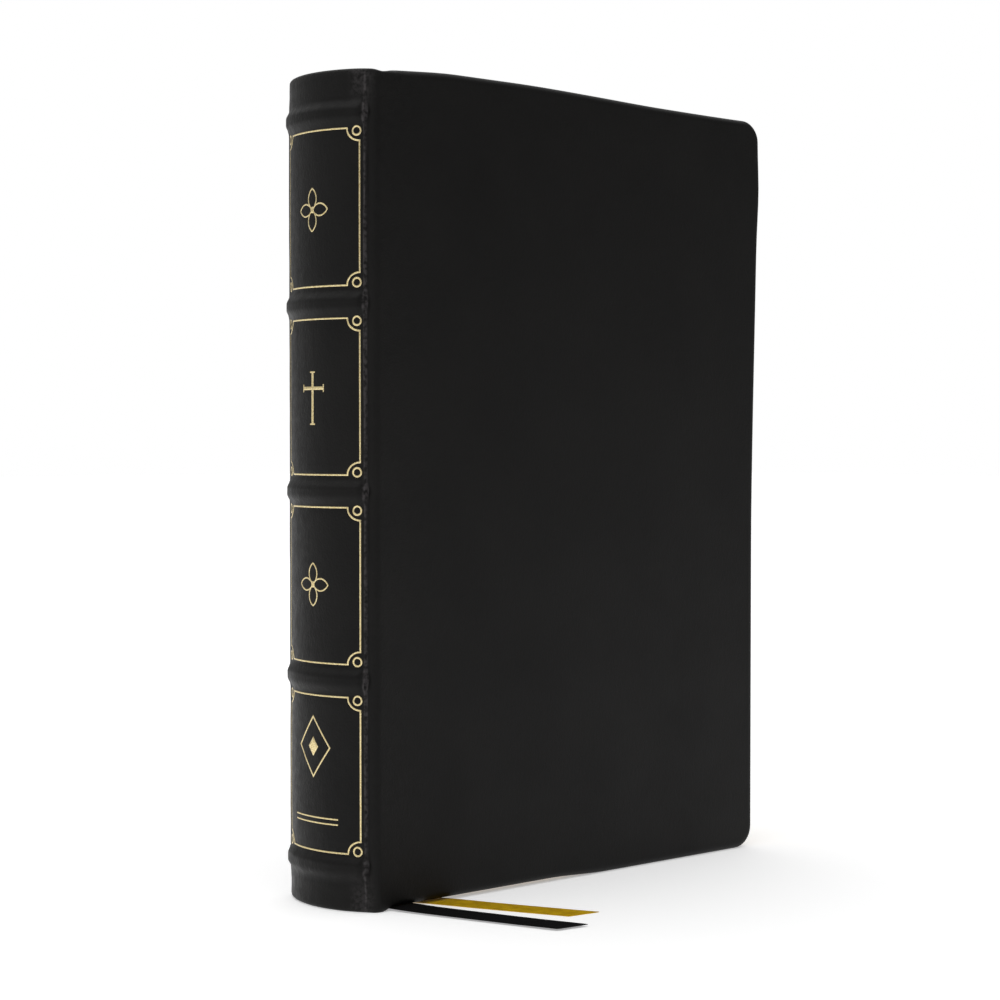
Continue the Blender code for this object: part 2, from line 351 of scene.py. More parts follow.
def sleeve(s, heights, cap, turn_down):
    """Closed loop of leather in one upright plane: up the outside, over the head, and back."""
    x = plan(s)[0]
    rise = cap / 2
    foot, top = rise, HEIGHT - rise
    flap = cap - 0.3
    under = SKIN + 0.1

    def at(z, depth):
        return leather_point(s, lifted(x, z), depth)

    def outer(z):
        return folds(s, z) - bands(s, z)

    loop = [at(max(foot, min(top, z)), outer(z)) for z in heights]
    last, first = outer(heights[-1]), outer(heights[0])
    loop += [at(top + h, d + last * (1 - d / cap)) for d, h in fold_over(cap, rise)]
    loop += [at(top, cap), at(HEIGHT - turn_down, cap), at(HEIGHT - turn_down - 0.2, flap)]
    loop += [at(HEIGHT - END_MARGIN, flap), at(HEIGHT - END_MARGIN, under)]
    inner = [z for z in heights if 4 < z < HEIGHT - 4]
    loop += [at(z, under - bands(s, z)) for z in reversed(inner)]
    loop += [at(END_MARGIN, under), at(END_MARGIN, flap)]
    loop += [at(turn_down + 0.2, flap), at(turn_down, cap), at(foot, cap)]
    loop += [at(foot - h, d + first * (1 - d / cap)) for d, h in reversed(fold_over(cap, rise))]
    return loop


# ---------------------------------------------------------------- materials


class Look:
    """A material being wired: its shader, and short calls that add the nodes feeding it."""

    def __init__(self, name, roughness=0.5, metallic=0.0, specular=0.5, loose=False):
        self.material = bpy.data.materials.new(name)
        self.material.use_nodes = True
        self.tree = self.material.node_tree
        self.shader = self.tree.nodes["Principled BSDF"]
        self.shader.inputs["Roughness"].default_value = roughness
        self.shader.inputs["Metallic"].default_value = metallic
        self.shader.inputs["Specular IOR Level"].default_value = specular
        if loose:  # for pieces that bend: coordinates kept on the mesh at rest
            kept = self.tree.nodes.new("ShaderNodeAttribute")
            kept.attribute_name = "rest"
            self.place = kept.outputs["Vector"]
        else:
            where = self.tree.nodes.new("ShaderNodeTexCoord").outputs["Object"]
            self.place = self.vector("MULTIPLY", where, (1000, 1000, 1000))

    def link(self, value, socket):
        if isinstance(value, bpy.types.NodeSocket):
            self.tree.links.new(value, socket)
        else:
            socket.default_value = value

    def vector(self, operation, a, b):
        node = self.tree.nodes.new("ShaderNodeVectorMath")
        node.operation = operation
        self.link(a, node.inputs[0])
        self.link(b, node.inputs[1])
        return node.outputs[0]

    def number(self, operation, a, b=0.0, c=0.0, clamp=False):
        node = self.tree.nodes.new("ShaderNodeMath")
        node.operation = operation
        node.use_clamp = clamp
        for value, socket in zip((a, b, c), node.inputs):
            self.link(value, socket)
        return node.outputs[0]

    def times(self, a, b):
        return self.number("MULTIPLY", a, b)

    def waves(self, value, length):
        return self.number("SINE", self.times(value, 2 * math.pi / length))

    def split(self, place=None):
        node = self.tree.nodes.new("ShaderNodeSeparateXYZ")
        self.link(place or self.place, node.inputs[0])
        return node.outputs

    def stretched(self, scale):
        return self.vector("MULTIPLY", self.place, scale)

    def noise(self, scale, detail=3.0, rough=0.55, place=None):
        node = self.tree.nodes.new("ShaderNodeTexNoise")
        self.link(place or self.place, node.inputs["Vector"])
        node.inputs["Scale"].default_value = scale
        node.inputs["Detail"].default_value = detail
        node.inputs["Roughness"].default_value = rough
        return node.outputs["Fac"]

    def cells(self, scale, feature="F1", place=None):
        node = self.tree.nodes.new("ShaderNodeTexVoronoi")
        node.feature = feature
        self.link(place or self.place, node.inputs["Vector"])
        node.inputs["Scale"].default_value = scale
        return node.outputs["Distance"]

    def curve(self, value, low, high, out_low=0.0, out_high=1.0):
        node = self.tree.nodes.new("ShaderNodeMapRange")
        s_curve(node, low, high, out_low, out_high)
        self.link(value, node.inputs["Value"])
        return node.outputs["Result"]

    def blend(self, factor, a, b):
        node = self.tree.nodes.new("ShaderNodeMix")
        node.data_type = "RGBA"
        self.link(factor, node.inputs["Factor"])
        for value, socket in ((a, node.inputs["A"]), (b, node.inputs["B"])):
            self.link(value if isinstance(value, bpy.types.NodeSocket) else (*value, 1), socket)
        return node.outputs["Result"]

    def colour(self, value):
        plain = not isinstance(value, bpy.types.NodeSocket)
        self.link((*value, 1) if plain else value, self.shader.inputs["Base Color"])

    def rough(self, value):
        self.link(value, self.shader.inputs["Roughness"])

    def bump(self, *layers):
        """Layers of (height, depth in millimetres), the first one deepest in the chain."""
        normal = None
        for height, depth in layers:
            node = self.tree.nodes.new("ShaderNodeBump")
            node.inputs["Distance"].default_value = depth * MM
            self.link(height, node.inputs["Height"])
            if normal:
                self.link(normal, node.inputs["Normal"])
            normal = node.outputs["Normal"]
        self.link(normal, self.shader.inputs["Normal"])


def leather_look():
    """Fine smooth goat leather, dyed black: worked and pebbly over the spine and the joints,
    and, stretched over the boards, flatter with an almost even satin face."""
    look = Look("black_leather", specular=0.14, loose=True)
    x, y, z = look.split()
    flat = look.curve(x, 6.0, 34.0)
    pebbles = look.cells(1.9, "SMOOTH_F1")
    pores = look.noise(6.5, 2.0)
    shade = look.curve(look.noise(0.04, 3.0), 0.3, 0.7)
    worked = look.blend(shade, (0.0042, 0.0040, 0.0038), (0.0062, 0.0058, 0.0054))
    even = look.blend(shade, (0.0038, 0.0036, 0.0034), (0.0048, 0.0045, 0.0042))
    dyed = look.blend(flat, worked, even)
    rubbed = look.blend(flat, (0.0105, 0.0098, 0.0092), (0.0070, 0.0066, 0.0062))
    grained = look.blend(look.curve(pores, 0.52, 0.78), dyed, rubbed)
    beside = look.number("ABSOLUTE", y)
    ridge = inside(look, beside, *FOLD_RUB_AND_HIGHLIGHT, 0.2)  # the fold beside the spine is rubbed paler, and painted lighter as a highlight
    ends = look.curve(look.number("ABSOLUTE", look.number("SUBTRACT", z, HEIGHT / 2)), 106, 116)
    corners = look.times(ends, inside(look, beside, 13.5, 18.6, 1.6))
    # Paler leather along the fold beside the spine and near its head and tail ends: partly rubbed
    # wear, partly a painted highlight.
    rub_and_highlight = look.number("MAXIMUM", ridge, look.times(corners, 0.45))
    rub_and_highlight = look.times(rub_and_highlight, look.curve(x, 6.0, 9.0, 1.0, 0.0))
    broken = look.curve(look.noise(0.8, 4.0, 0.6), 0.36, 0.62)
    rub_and_highlight = look.times(rub_and_highlight, broken)
    look.colour(look.blend(rub_and_highlight, grained, (0.046, 0.042, 0.043)))
    patchy = look.curve(look.noise(0.4, 4.0), 0.25, 0.75, 0.37, 0.50)
    satin = look.curve(look.noise(0.05, 4.0), 0.25, 0.75, 0.42, 0.50)
    step = look.times(look.number("SUBTRACT", satin, patchy), flat)
    look.rough(look.number("ADD", patchy, step))
    relief = look.number("SUBTRACT", 1.0, look.times(flat, 0.5))
    wrinkles = look.noise(0.9, 5.0, 0.65, look.stretched((1.0, 1.0, 0.45)))
    look.bump(
        (look.times(wrinkles, relief), 0.10),
        (look.times(pebbles, relief), 0.055),
        (look.times(pores, relief), 0.02),
    )
    return look.material


def gold_look():
    """Pale gold foil, pressed by a hot die: bright, a little broken where it misses the grain."""
    look = Look("gold_foil", roughness=0.3, metallic=1.0)
    speck = look.noise(3.2, 4.0, 0.7)
    look.colour(look.blend(look.curve(speck, 0.35, 0.62), (0.62, 0.47, 0.20), (0.93, 0.80, 0.47)))
    look.rough(look.curve(look.noise(1.4, 3.0), 0.3, 0.7, 0.24, 0.42))
    look.bump((look.noise(2.4, 3.0), 0.03))
    return look.material


def paper_look(name, tint, loose, printed=False):
    """Paper with a faint formation and fibres; a printed page has two grey columns of bars."""
    look = Look(name, roughness=0.82, specular=0.25, loose=loose)
    cloud = look.curve(look.noise(0.16, 5.0, 0.6), 0.3, 0.7)
    darker = tuple(c * 0.93 for c in tint)
    page = look.blend(cloud, darker, tint)
    fibres = look.noise(1.1, 6.0, 0.75, look.stretched((1.0, 1.0, 0.3)))
    page = look.blend(look.curve(fibres, 0.60, 0.80, 0.0, 0.35), page, tuple(c * 0.8 for c in tint))
    if printed:
        page = look.blend(bars(look), page, (0.10, 0.095, 0.09))
    look.colour(page)
    look.bump((fibres, 0.02), (look.noise(0.02, 2.0), 0.5))
    return look.material


def inside(look, value, low, high, soft=0.08):
    """1 between two values and 0 outside them."""
    rise = look.curve(value, low - soft, low + soft)
    fall = look.curve(value, high - soft, high + soft, 1.0, 0.0)
    return look.times(rise, fall)


def bars(look):
    """Rows of grey bars in two columns that stand for lines of print, with no letters."""
    x, _, z = look.split()
    row = look.number("DIVIDE", z, 2.9)
    level = look.number("FLOOR", row)
    line = inside(look, look.number("FRACT", row), 0.30, 0.68, 0.06)
    shift = look.times(look.number("SINE", look.times(level, 12.9)), 37.0)
    along = look.number("ADD", look.times(x, 0.55), shift)
    place = look.tree.nodes.new("ShaderNodeCombineXYZ")
    look.link(along, place.inputs[0])
    look.link(level, place.inputs[1])
    words = look.curve(look.noise(1.0, 1.0, 0.5, place.outputs[0]), 0.40, 0.44)
    ends = look.times(look.number("SINE", look.times(level, 4.7)), 3.0)
    first = inside(look, x, 31, 86.5)
    stop = look.number("ADD", 146.0, ends)
    second = look.times(look.curve(x, 91.4, 91.6), look.number("LESS_THAN", x, stop))
    columns = look.number("ADD", first, second, clamp=True)
    block = inside(look, z, 21, 212)
    ink = look.times(look.times(line, words), columns)
    return look.times(look.times(ink, block), 0.62)


def sewn_back_look():
    """The glued folds of the sections: paper, gilt where the leaves' ends were trimmed."""
    look = Look("sewn_back_paper", roughness=0.82, specular=0.25)
    z = look.split()[2]
    paper = look.blend(look.noise(0.16, 5.0, 0.6), (0.61, 0.56, 0.46), (0.66, 0.60, 0.49))
    trimmed = look.number("ADD", look.number("GREATER_THAN", z, HEAD_Z - 0.05),
                          look.number("LESS_THAN", z, TAIL_Z + 0.05))
    gold = look.blend(look.noise(0.12, 4.0), (0.70, 0.50, 0.20), (0.86, 0.66, 0.31))
    look.colour(look.blend(trimmed, paper, gold))
    look.link(trimmed, look.shader.inputs["Metallic"])
    look.rough(look.number("SUBTRACT", 0.82, look.times(trimmed, 0.44)))
    look.bump((look.noise(1.1, 6.0, 0.75, look.stretched((1.0, 1.0, 0.3))), 0.02))
    return look.material


def gilt_look():
    """Gilt leaf edges: thin metal over hundreds of leaves, so it shows their fine lines."""
    look = Look("gilt_edge", roughness=0.34, metallic=1.0, loose=True)
    across = look.noise(1.0, 3.0, 0.6, look.stretched((0.05, 14.0, 0.05)))
    cloud = look.noise(0.12, 4.0)
    bright = look.blend(look.curve(cloud, 0.3, 0.7), (0.70, 0.50, 0.20), (0.86, 0.66, 0.31))
    look.colour(look.blend(look.curve(across, 0.35, 0.65, 0.0, 0.45), bright, (0.50, 0.33, 0.12)))
    look.rough(look.curve(across, 0.3, 0.7, 0.28, 0.46))
    look.bump((across, 0.06))
    return look.material


def cloth_look(name, light, dark, thread):
    """Plain weave: threads over and under along Y and Z, with a fine uneven dye."""
    look = Look(name, roughness=0.5, specular=0.4)
    _, across, along = look.split()
    a = look.waves(across, thread)
    b = look.waves(along, thread)
    weave = look.curve(look.times(a, b), -0.9, 0.9)
    cloud = look.curve(look.noise(0.5, 4.0), 0.3, 0.7)
    middle = tuple((p + q) / 2 for p, q in zip(light, dark))
    look.colour(look.blend(weave, dark, look.blend(cloud, light, middle)))
    look.bump((weave, 0.06), (look.noise(5.0, 2.0), 0.02))
    return look.material


def satin_look(name, light, dark, specular):
    """Satin ribbon: fine ribs across it, a corded selvedge, and a soft sheen."""
    look = Look(name, roughness=0.46, specular=specular)
    uv = look.tree.nodes.new("ShaderNodeTexCoord").outputs["UV"]
    parts = look.split(uv)
    across = look.times(parts[0], RIBBON_W)
    along = look.times(parts[1], UV_LENGTH)
    ribs = look.waves(along, 0.42)
    edge = look.number("ABSOLUTE", look.number("SUBTRACT", across, RIBBON_W / 2))
    selvedge = look.curve(edge, RIBBON_W / 2 - 0.75, RIBBON_W / 2 - 0.55)
    threads = look.waves(across, 0.30)
    shade = look.curve(look.number("ADD", ribs, look.times(threads, 0.5)), -1.3, 1.3)
    cloud = look.curve(look.noise(0.25, 4.0), 0.3, 0.7)
    tone = look.blend(cloud, dark, light)
    look.colour(look.blend(look.curve(shade, 0, 1, 0.0, 0.35), tone, tuple(c * 0.6 for c in dark)))
    look.bump((shade, 0.05), (selvedge, 0.08))
    look.shader.inputs["Sheen Weight"].default_value = 0.02
    look.shader.inputs["Sheen Roughness"].default_value = 0.4
    return look.material


def striped_silk_look():
    """End band of silk worked in two colours, each about two millimetres wide."""
    look = Look("banded_silk", roughness=0.45)
    uv = look.tree.nodes.new("ShaderNodeTexCoord").outputs["UV"]
    along = look.split(uv)[0]
    stripe = look.waves(along, 1 / 7)
    tone = look.blend(look.curve(stripe, -0.1, 0.1), (0.015, 0.014, 0.014), (0.55, 0.38, 0.12))
    cloud = look.curve(look.noise(3.0, 3.0), 0.3, 0.7, 0.0, 0.3)
    look.colour(look.blend(cloud, tone, (0.08, 0.06, 0.03)))
    look.bump((look.noise(6.0, 2.0), 0.02))
    return look.material


def board_look(name, light, dark):
    """Pressed board: grey, fibrous, with flecks."""
    look = Look(name, roughness=0.9, specular=0.2)
    fibres = look.noise(0.9, 6.0, 0.7, look.stretched((1.0, 1.0, 0.4)))
    flecks = look.curve(look.cells(0.8), 0.05, 0.16, 1.0, 0.0)
    tone = look.blend(look.curve(fibres, 0.3, 0.7), dark, light)
    look.colour(look.blend(flecks, tone, tuple(c * 0.5 for c in dark)))
    look.bump((fibres, 0.12))
    return look.material


LEATHER = leather_look()
GOLD = gold_look()
GILT = gilt_look()
PAGE = paper_look("book_paper", (0.80, 0.74, 0.62), True, printed=True)
ENDPAPER = paper_look("endpaper", (0.72, 0.66, 0.54), True)

# ---------------------------------------------------------------- camera, light and floor


def aim(obj, place, target):
    obj.location = [c * MM for c in place]
    away = Vector(target) - Vector(place)
    obj.rotation_mode = "QUATERNION"
    obj.rotation_quaternion = away.to_track_quat("-Z", "Y")


def camera():
    data = bpy.data.cameras.new("camera")
    data.lens = CAMERA_LENS
    data.sensor_width = 36
    data.clip_start, data.clip_end = 0.01, 20
    turn, rise = math.radians(CAMERA_TURN), math.radians(CAMERA_RISE)
    back = Vector(
        (math.sin(turn) * math.cos(rise), -math.cos(turn) * math.cos(rise), math.sin(rise))
    )
    obj = add("camera", data)
    aim(obj, Vector(CAMERA_AIM) + back * CAMERA_DISTANCE, CAMERA_AIM)
    bpy.context.scene.camera = obj


def softbox(name, place, target, size, watts):
    data = bpy.data.lights.new(name, "AREA")
    data.shape = "RECTANGLE"
    data.size, data.size_y = size[0] * MM, size[1] * MM
    data.energy = watts
    aim(add(name, data), place, target)


def studio():
    """A pale surround: brightest overhead, dimmer where the front cover reflects it."""
    scene = bpy.context.scene
    scene.view_settings.view_transform = "Standard"
    world = bpy.data.worlds.new("studio")
    world.use_nodes = True
    scene.world = world
    tree = world.node_tree
    nodes, links = tree.nodes, tree.links
    shine = nodes["Background"]
    backdrop = nodes.new("ShaderNodeBackground")
    for background in (shine, backdrop):
        background.inputs["Color"].default_value = (1, 1, 1, 1)
    direction = nodes.new("ShaderNodeTexCoord").outputs["Generated"]

    def glow(towards, low, high, dim, bright):
        """Light from a part of the surround, between two cosines from a direction."""
        facing = nodes.new("ShaderNodeVectorMath")
        facing.operation = "DOT_PRODUCT"
        facing.inputs[1].default_value = Vector(towards).normalized()
        links.new(direction, facing.inputs[0])
        level = nodes.new("ShaderNodeMapRange")
        s_curve(level, low, high, dim, bright)
        links.new(facing.outputs["Value"], level.inputs["Value"])
        return level.outputs["Result"]

    total = nodes.new("ShaderNodeMath")
    total.operation = "ADD"
    links.new(glow((-0.55, 0.83, 0.0), -0.85, 0.35, 0.16, 0.50), total.inputs[0])
    links.new(glow((0.0, 0.0, 1.0), 0.30, 0.85, 0.0, 0.70), total.inputs[1])
    links.new(total.outputs[0], shine.inputs["Strength"])
    seen = nodes.new("ShaderNodeLightPath")
    pick = nodes.new("ShaderNodeMixShader")
    links.new(seen.outputs["Is Camera Ray"], pick.inputs["Fac"])
    links.new(shine.outputs[0], pick.inputs[1])
    links.new(backdrop.outputs[0], pick.inputs[2])
    links.new(pick.outputs[0], nodes["World Output"].inputs["Surface"])
    softbox("top_softbox", (-250, -150, 1100), (60, 0, 110), (900, 900), 1.2)


def floor():
    """A plain pale floor. It glows a little, which keeps the soft shadows on it light."""
    size = 6000.0
    verts = [(-size, -size, 0), (size, -size, 0), (size, size, 0), (-size, size, 0)]
    look = Look("floor", roughness=0.75, specular=0.2)
    look.colour(look.blend(look.noise(0.002, 2.0), (0.90, 0.90, 0.90), (0.92, 0.92, 0.92)))
    look.shader.inputs["Emission Color"].default_value = (1, 1, 1, 1)
    look.shader.inputs["Emission Strength"].default_value = 0.34
    obj = make("floor", verts, [(0, 1, 2, 3)], look.material)


# ---------------------------------------------------------------- spine and joints


def spine_skin():
    heights = body_heights()
    columns = []
    for s in spread(-SKIN_END, SKIN_END, 160):
        cap = CAP_DEPTH + (FOLD - CAP_DEPTH) * smooth(17.5, 20.5, abs(s))
        columns.append(sleeve(s, heights, cap, TURN_DOWN))
    obj = make("spine_leather_skin", *tube(columns), LEATHER)
    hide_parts("spine_leather")
    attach(obj, "spine")


def joint_strips(which, side):
    """Three strips of leather, each lying across one of the joint's hinge lines."""
    heights = body_heights()
    mid = (PAGES_X + FLYLEAF_X) / 2, (FLYLEAF_X + COVER_X) / 2
    stretches = (
        ("inner", SKIN_END_X, mid[0], "spine", f"{which}_pages", 8),
        ("middle", mid[0], mid[1], f"{which}_pages", f"{which}_flyleaf", 8),
        ("outer", mid[1], COVER_START, f"{which}_flyleaf", f"{which}_cover", 14),
    )
    for part, start, end, a, b, steps in stretches:
        columns = []
        for x in spread(start, end, steps):
            t = smooth(10.2, COVER_START, x)
            cap = FOLD + (COVER_T - FOLD) * t
            turn_down = TURN_DOWN + (TURN_IN - TURN_DOWN) * t
            columns.append(sleeve(s_of_x(x, side), heights, cap, turn_down))
        obj = make(f"{which}_joint_{part}_leather", *tube(columns), LEATHER)
        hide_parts(f"{which}_joint_leather")
        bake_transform(obj)


# ---------------------------------------------------------------- gold tooling


def tool_line(points, closed=False, width=WIDTH_OF_LINE):
    """Points and faces of a raised foil line along a path of (s, z) points."""
    count = len(points)
    section = ((-0.5, -0.05), (-0.34, 0.035), (0.0, 0.055), (0.34, 0.035), (0.5, -0.05))
    columns = []
    for i, (s, z) in enumerate(points):
        before = points[i - 1] if i or closed else points[0]
        after = points[(i + 1) % count] if i < count - 1 or closed else points[-1]
        first = Vector((s - before[0], z - before[1]))
        second = Vector((after[0] - s, after[1] - z))
        first = first.normalized() if first.length > 1e-6 else second.normalized()
        second = second.normalized() if second.length > 1e-6 else first
        along = (first + second).normalized()
        mitre = 1 / max(0.5, abs(along.dot(first)))
        across = Vector((-along.y, along.x)) * width * mitre
        loop = [surface(s + across.x * o, z + across.y * o, lift) for o, lift in section]
        columns.append(loop)
    return tube(columns, closed)


def dense(points, closed=False, step=0.8):
    """The same path with points added along its longer stretches."""
    ends = points[1:] + points[:1] if closed else points[1:]
    found = []
    for (s0, z0), (s1, z1) in zip(points, ends):
        count = max(1, math.ceil(math.hypot(s1 - s0, z1 - z0) / step))
        found += [(s0 + (s1 - s0) * k / count, z0 + (z1 - z0) * k / count) for k in range(count)]
    return found if closed else found + [points[-1]]


def oval(s, z, radius_s, radius_z, count=28):
    turns = [2 * math.pi * k / count for k in range(count)]
    return [(s + radius_s * math.cos(a), z + radius_z * math.sin(a)) for a in turns]


def frame_path(low, high):
    """A panel's frame: straight sides with a hollow quarter round at each corner."""
    points = []
    for qs, qz in ((1, 1), (-1, 1), (-1, -1), (1, -1)):
        corner_z = high if qz > 0 else low
        arc = []
        for k in range(9):
            a = math.pi / 2 * k / 8
            s = qs * (FRAME_HALF - NOTCH[0] * math.sin(a))
            arc.append((s, corner_z - qz * NOTCH[1] * math.cos(a)))
        points += arc if qs * qz > 0 else arc[::-1]
    return points


def petal(s, z, angle, length, half_width):
    """A looped petal that starts at a flower's heart and ends in a point."""
    outline = []
    c, d = math.cos(angle), math.sin(angle)
    for side, steps in ((1, range(0, 15)), (-1, range(14, 0, -1))):
        for k in steps:
            t = k / 14
            half = side * half_width * 3.36 * t**0.9 * (1 - t) ** 0.85
            along = length * t
            outline.append((s + along * c - half * d, z + along * d + half * c))
    return outline


def patch(points):
    """A filled shape of foil: its outline is a path of (s, z) points about their middle."""
    s = sum(p[0] for p in points) / len(points)
    z = sum(p[1] for p in points) / len(points)
    rings = []
    for scale, lift in ((1.0, -0.05), (0.94, 0.035), (0.5, 0.05)):
        ring = [surface(s + (a - s) * scale, z + (b - z) * scale, lift) for a, b in points]
        rings.append(ring)
    verts = [p for ring in rings for p in ring] + [surface(s, z, 0.055), surface(s, z, -0.05)]
    n, last = len(points), 3 * len(points)
    faces = []
    for k in range(n):
        j = (k + 1) % n
        for r in (0, n):
            faces.append((r + k, r + j, r + n + j, r + n + k))
        faces.append((2 * n + k, 2 * n + j, last))
        faces.append((j, k, last + 1))
    return verts, faces


def joined(parts):
    """Several shapes of foil as one list of points and one of faces."""
    verts, faces = [], []
    for points, sides in parts:
        base = len(verts)
        verts += points
        faces += [tuple(base + k for k in face) for face in sides]
    return verts, faces


def tooling():
    """Frames with ringed corners, two flowers, a cross, a lozenge and two rules."""
    pieces = []
    for lower, upper, margins in zip(BAND_Z, BAND_Z[1:], FRAME_MARGINS):
        low, high = lower + margins[0], upper - margins[1]
        pieces.append(tool_line(dense(frame_path(low, high), True), True))
        for s in (-FRAME_HALF + 0.9, FRAME_HALF - 0.9):
            for z in (low + 0.8, high - 0.8):
                pieces.append(tool_line(oval(s, z, 1.22, 1.22), True, 0.6))
    for panel in (0, 2):  # a flower in the first panel below the head, and in the third
        z = (BAND_Z[4 - panel] + BAND_Z[3 - panel]) / 2 + 0.25
        for turn in range(4):
            pieces.append(tool_line(petal(0, z, math.pi / 2 * turn, 6.1, 1.75), True, 0.5))
        pieces.append(patch(oval(0, z, 0.75, 0.95, 16)))
        for turn in range(4):
            a = math.pi / 4 + math.pi / 2 * turn
            ray = [(1.9 * t * math.cos(a), z + 1.9 * t * math.sin(a)) for t in (0, 0.5, 1)]
            pieces.append(tool_line(ray, False, 0.34))
    pieces.append(cross(0, (BAND_Z[3] + BAND_Z[2]) / 2 + 1.0))
    z = BAND_Z[0] + 33.8
    lozenge = [(6.6, z), (0, z + 8.6), (-6.6, z), (0, z - 8.6)]
    pieces.append(tool_line(dense(lozenge, True), True, 0.6))
    inner = [(2.2, z), (0, z + 2.9), (-2.2, z), (0, z - 2.9)]
    pieces.append(patch(dense(inner, True, 0.6)))
    for offset in (-0.75, 0.75):
        rule = dense([(-9.5, BAND_Z[0] + 12.8 + offset), (9.5, BAND_Z[0] + 12.8 + offset)])
        pieces.append(tool_line(rule, False, 0.5))
    verts, faces = joined(pieces)
    obj = make("spine_gold_tooling", verts, faces, GOLD, sharp=60)
    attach(obj, "spine")


def cross(s, z):
    """A plain cross: two bars of foil that meet, each with a short serif at its ends."""
    upright = [(s, z - 8.2), (s, z + 6.4)]
    arm = [(s - 4.4, z + 1.9), (s + 4.4, z + 1.9)]
    parts = [tool_line(dense(upright), False, 1.15), tool_line(dense(arm), False, 1.15)]
    for end in ((s, z - 8.3), (s, z + 6.5)):
        parts.append(tool_line(dense([(end[0] - 1.1, end[1]), (end[0] + 1.1, end[1])]), False, 0.5))
    for end in (s - 4.5, s + 4.5):
        parts.append(tool_line(dense([(end, z + 0.8), (end, z + 3.0)]), False, 0.5))
    return joined(parts)


# ---------------------------------------------------------------- covers


def cover_ring(inset):
    """Points (x, z) round a cover's three free edges, that far in from them."""
    corner = max(CORNER - inset, 0.5)
    low, high, end = inset, HEIGHT - inset, FORE - inset
    points = [(x, low) for x in spread(COVER_START, end - corner, 40)[:-1]]
    for cz, first in ((low + corner, -90), (high - corner, 0)):
        if first == 0:
            points += [(end, z) for z in spread(low + corner, high - corner, 44)[1:-1]]
        for k in range(11):
            a = math.radians(first + 9 * k)
            points.append((end - corner + corner * math.cos(a), cz + corner * math.sin(a)))
    return points + [(x, high) for x in spread(end - corner, COVER_START, 40)[1:]]


def fore_lean(side, z):
    """How far a cover's fore-edge lies out from its upright line at that height."""
    lean = FLARE[side] * smooth(FLARE_START, HEIGHT - 4, z) + FLARE_BASE
    if side < 0:
        size, middle, half = FORE_BULGE
        lean += size * swell(z, middle, half)
    return lean


def cover_skin(which, side):
    """Leather over a board: a rounded edge, a face almost flat, and turned-in edges inside."""
    steps = [(inset, COVER_T) for inset in (TURN_IN, TURN_IN - 0.4, 9, 6, 4, 2.6)]
    half = COVER_T / 2
    for k in range(13):
        a = math.pi * k / 12
        steps.append((half - half * math.sin(a), half + half * math.cos(a)))
    steps += [(inset, 0.0) for inset in (2.7, 4, 6, 9, 13, 18, 24, 31, 40, 51, 64, 79, 95, 110)]
    steps.append((HEIGHT / 2 - 1.5, 0.0))
    verts, faces = [], []
    for number, (inset, depth) in enumerate(steps):
        ring = cover_ring(inset)
        for x, z in ring:
            away = min(x - COVER_START, FORE - x, z, HEIGHT - z)
            calm = smooth(0, 30, away)
            wave = noise.noise(Vector((x * 0.018, z * 0.014, 5.0 * side)))
            ripple = noise.noise(Vector((x * 0.06, z * 0.05, 2.0 * side)))
            y = HALF_T - depth + calm * (0.30 * wave + 0.05 * ripple) * (depth < half)
            near = smooth(FORE - FLARE_WIDTH[0], FORE - FLARE_WIDTH[1], x)
            turned = smooth(3, 11, inset) * (depth > half)
            if number == 0:
                y += 0.35
            out = fore_lean(side, z) * near * (1 - turned)
            verts.append((x + out, side * y, lifted(x, z)))
        if number:
            n = len(ring)
            a, b = (number - 1) * n, number * n
            faces += [(a + k, a + k + 1, b + k + 1, b + k) for k in range(n - 1)]
    n = len(ring)
    faces.append(tuple(range(len(verts) - n, len(verts))))
    if side > 0:
        faces = [face[::-1] for face in faces]
    obj = make(f"{which}_cover_skin", verts, faces, LEATHER)
    used = {}
    for face in obj.data.polygons:
        for edge in face.edge_keys:
            used[edge] = used.get(edge, 0) + 1
    for edge in obj.data.edges:  # the skin's open side stays crisp where it meets the joint
        if used[edge.key] == 1:
            edge.use_edge_sharp = True
    thick = obj.modifiers.new("thickness", "SOLIDIFY")
    thick.thickness = BOARD_SKIN * MM
    thick.offset = -1
    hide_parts(f"{which}_cover_leather")
    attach(obj, f"{which}_cover")


# ---------------------------------------------------------------- leaves


def leaf(start, end, near, far, turn_end, corner=8.0, low=None, high=None):
    """One leaf as closed loops along X, its thickness from near to far, with round corners."""
    low = TAIL_Z if low is None else low
    high = HEAD_Z if high is None else high
    stops = [(x, 0.0) for x in spread(start, turn_end, 14)]
    stops += [(x, 0.0) for x in spread(turn_end, end - corner, 3)[1:-1]]
    for k in range(8):
        a = math.pi / 2 * k / 7
        stops.append((end - corner + corner * math.sin(a), corner * (1 - math.cos(a))))
    return [
        [(x, near, low + c), (x, near, high - c), (x, far, high - c), (x, far, low + c)]
        for x, c in stops
    ]


def leaf_faces(columns, base):
    """Faces of a leaf, and for each 1 if it is a trimmed edge and 0 if it is a page."""
    _, faces = tube(columns)
    trims = [k % 4 % 2 for k in range(len(faces) - 2)] + [0, 1]
    return [tuple(base + k for k in face) for face in faces], trims


def back_x(y, depth=3.3):
    return ARC_X - math.sqrt((ARC_R - depth) ** 2 - y * y)


def close_up(point):
    """A point of a middle leaf: its inner face leans to the middle plane beyond the ribbons."""
    x, y, z = point
    return (x, y * (1 - 0.9 * smooth(34, 60, x)) if abs(y) < 0.5 else y, z)


